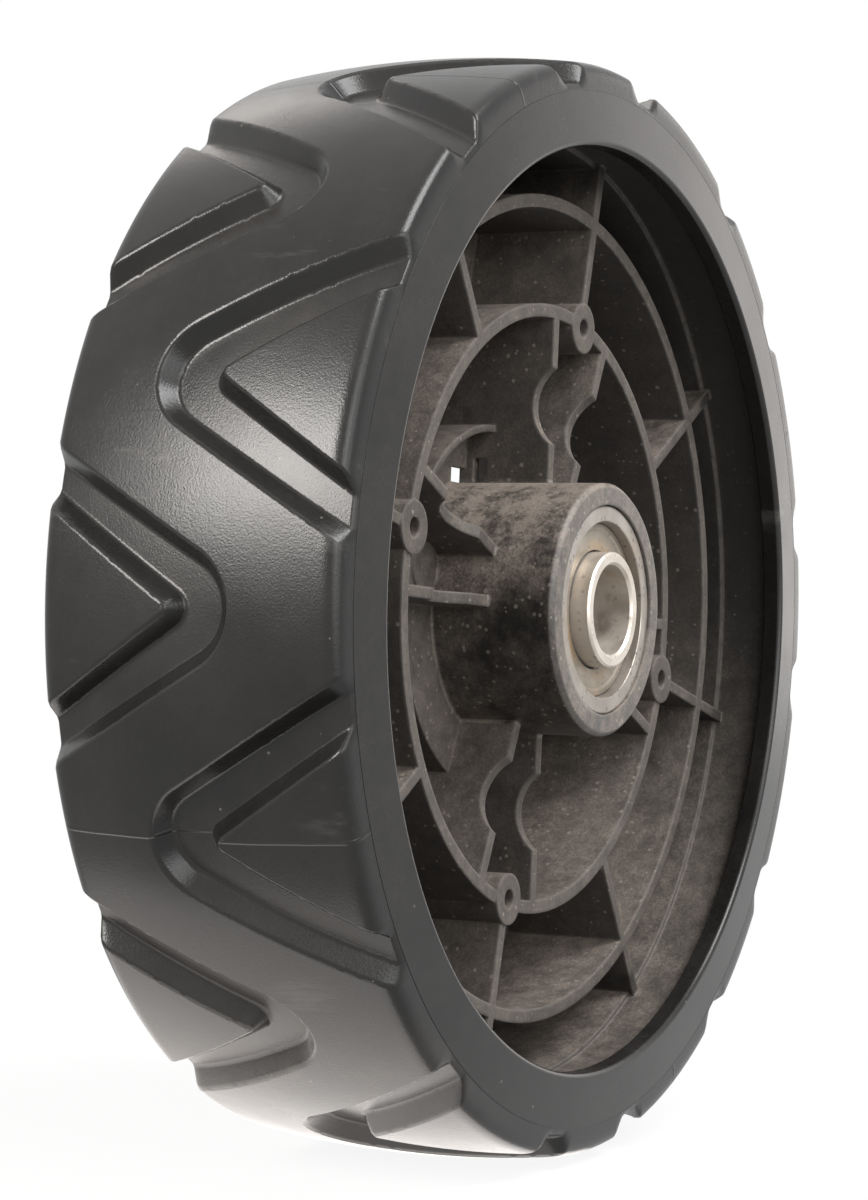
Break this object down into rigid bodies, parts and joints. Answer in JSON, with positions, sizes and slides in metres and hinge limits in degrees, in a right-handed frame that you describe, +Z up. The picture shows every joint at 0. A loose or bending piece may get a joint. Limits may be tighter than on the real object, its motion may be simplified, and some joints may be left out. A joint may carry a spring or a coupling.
{
  "type": "lawn mower wheel",
  "caption": "Lawn mower wheel: rubber tyre with interlocking V-groove tread on a deep, ribbed plastic rim with screw bosses, turning on sealed ball bearings about a plain axle bore.",
  "frame": {"origin": "centre of the wheel, on its axis, half way across the tread", "axes": "+Y along the axle, away from the ribbed inboard side; +Z up"},
  "size_m": [0.1844, 0.0556, 0.1844],
  "materials": {
    "tyre": "satin black rubber",
    "rim": "matt dark grey-brown moulded plastic",
    "spacer": "drawn steel tube",
    "bearing": "ground bearing steel",
    "sleeve": "zinc plated steel",
    "shield": "pressed sheet steel, slightly yellowed",
    "cage": "pressed steel",
    "ball": "polished steel"
  },
  "bodies": {
    "axle_sleeve": {"spacer": "spacer", "inboard_inner_ring": "sleeve", "outboard_inner_ring": "sleeve"},
    "wheel": {"tyre": "tyre", "rim": "rim", "inboard_outer_ring": "bearing", "inboard_front_shield": "shield", "inboard_back_shield": "shield", "outboard_outer_ring": "bearing", "outboard_front_shield": "shield", "outboard_back_shield": "shield"},
    "inboard_ball_set": {"inboard_cage": "cage", "inboard_ball_1": "ball", "inboard_ball_2": "ball", "inboard_ball_3": "ball", "inboard_ball_4": "ball", "inboard_ball_5": "ball", "inboard_ball_6": "ball", "inboard_ball_7": "ball", "inboard_ball_8": "ball"},
    "outboard_ball_set": {"outboard_cage": "cage", "outboard_ball_1": "ball", "outboard_ball_2": "ball", "outboard_ball_3": "ball", "outboard_ball_4": "ball", "outboard_ball_5": "ball", "outboard_ball_6": "ball", "outboard_ball_7": "ball", "outboard_ball_8": "ball"}
  },
  "joints": [
    {"name": "wheel_spin", "type": "hinge", "parent": "axle_sleeve", "child": "wheel", "pos_m": [0, 0, 0], "axis": [0, 1, 0], "continuous": true},
    {"name": "inboard_ball_orbit", "type": "hinge", "parent": "axle_sleeve", "child": "inboard_ball_set", "pos_m": [0, -0.0208, 0], "axis": [0, 1, 0], "continuous": true},
    {"name": "outboard_ball_orbit", "type": "hinge", "parent": "axle_sleeve", "child": "outboard_ball_set", "pos_m": [0, 0.0208, 0], "axis": [0, 1, 0], "continuous": true}
  ],
  "couplings": [
    {"joint": "inboard_ball_orbit", "follows": "wheel_spin", "ratio": 0.625},
    {"joint": "outboard_ball_orbit", "follows": "wheel_spin", "ratio": 0.625}
  ]
}
